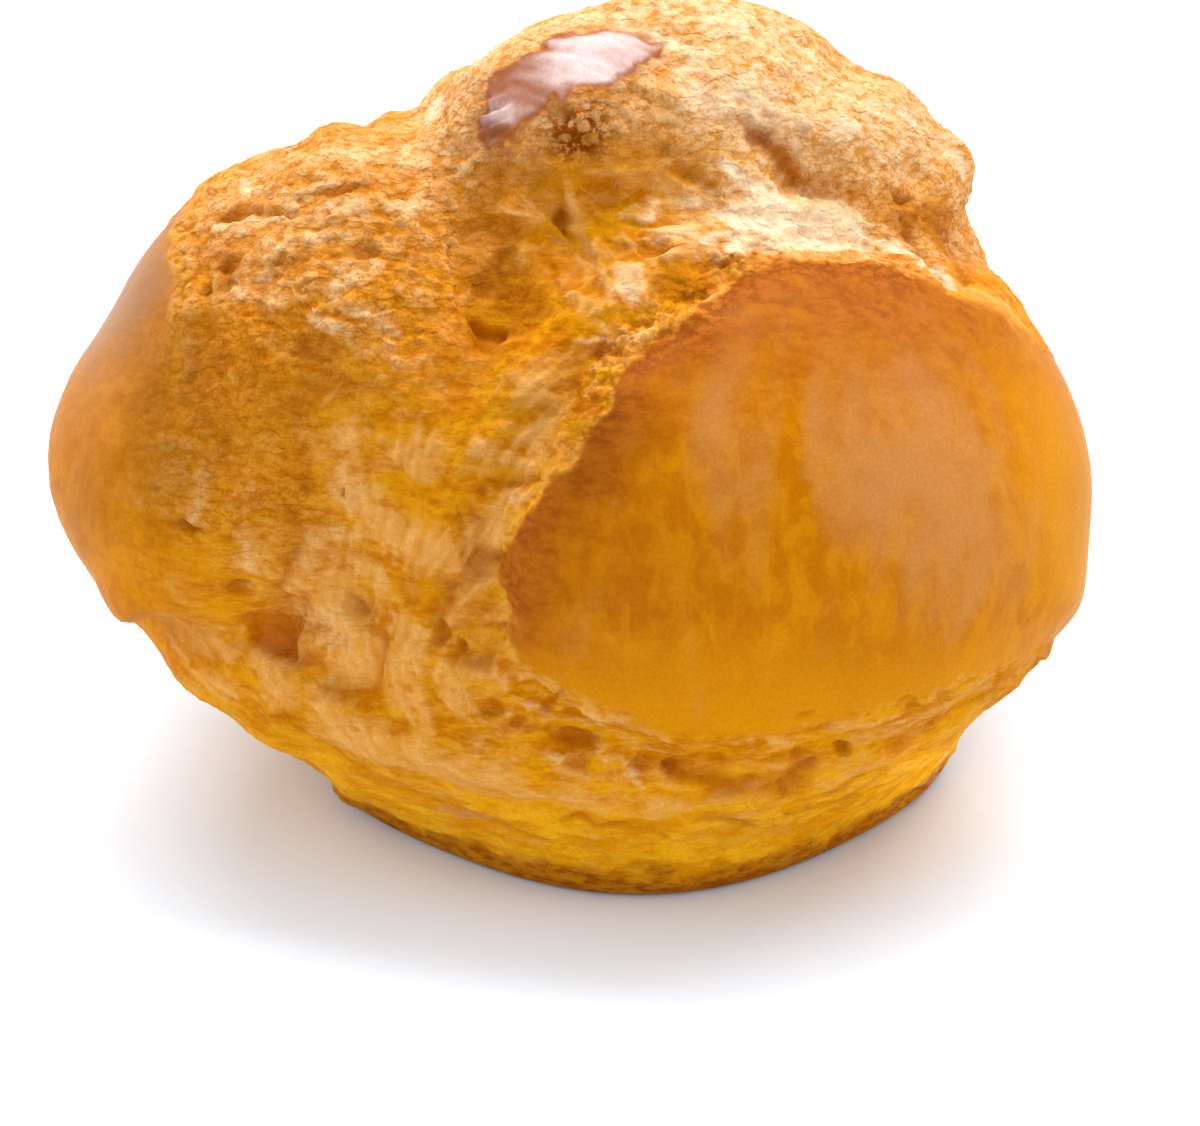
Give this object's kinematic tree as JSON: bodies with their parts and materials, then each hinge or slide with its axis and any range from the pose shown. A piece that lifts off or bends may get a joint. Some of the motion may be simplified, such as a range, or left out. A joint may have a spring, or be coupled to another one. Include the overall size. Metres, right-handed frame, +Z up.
{
  "type": "choux pastry shell",
  "caption": "Uncut baked choux puff: a glossy browned dome and craggy torn lobes swelling out of a small flat foot.",
  "frame": {"origin": "middle of the shell's outline, on the surface it rests on", "axes": "+Z up, +X along the widest way with the glossy dome's side positive, the front with the glossy dome looks towards -Y"},
  "size_m": [0.0756, 0.0622, 0.0555],
  "materials": {
    "baked_crust": "baked choux crust: smooth browned lobes with an egg-wash gloss, pale yellow sandy tears between them"
  },
  "bodies": {
    "root": {"choux_shell": "baked_crust"}
  },
  "joints": []
}
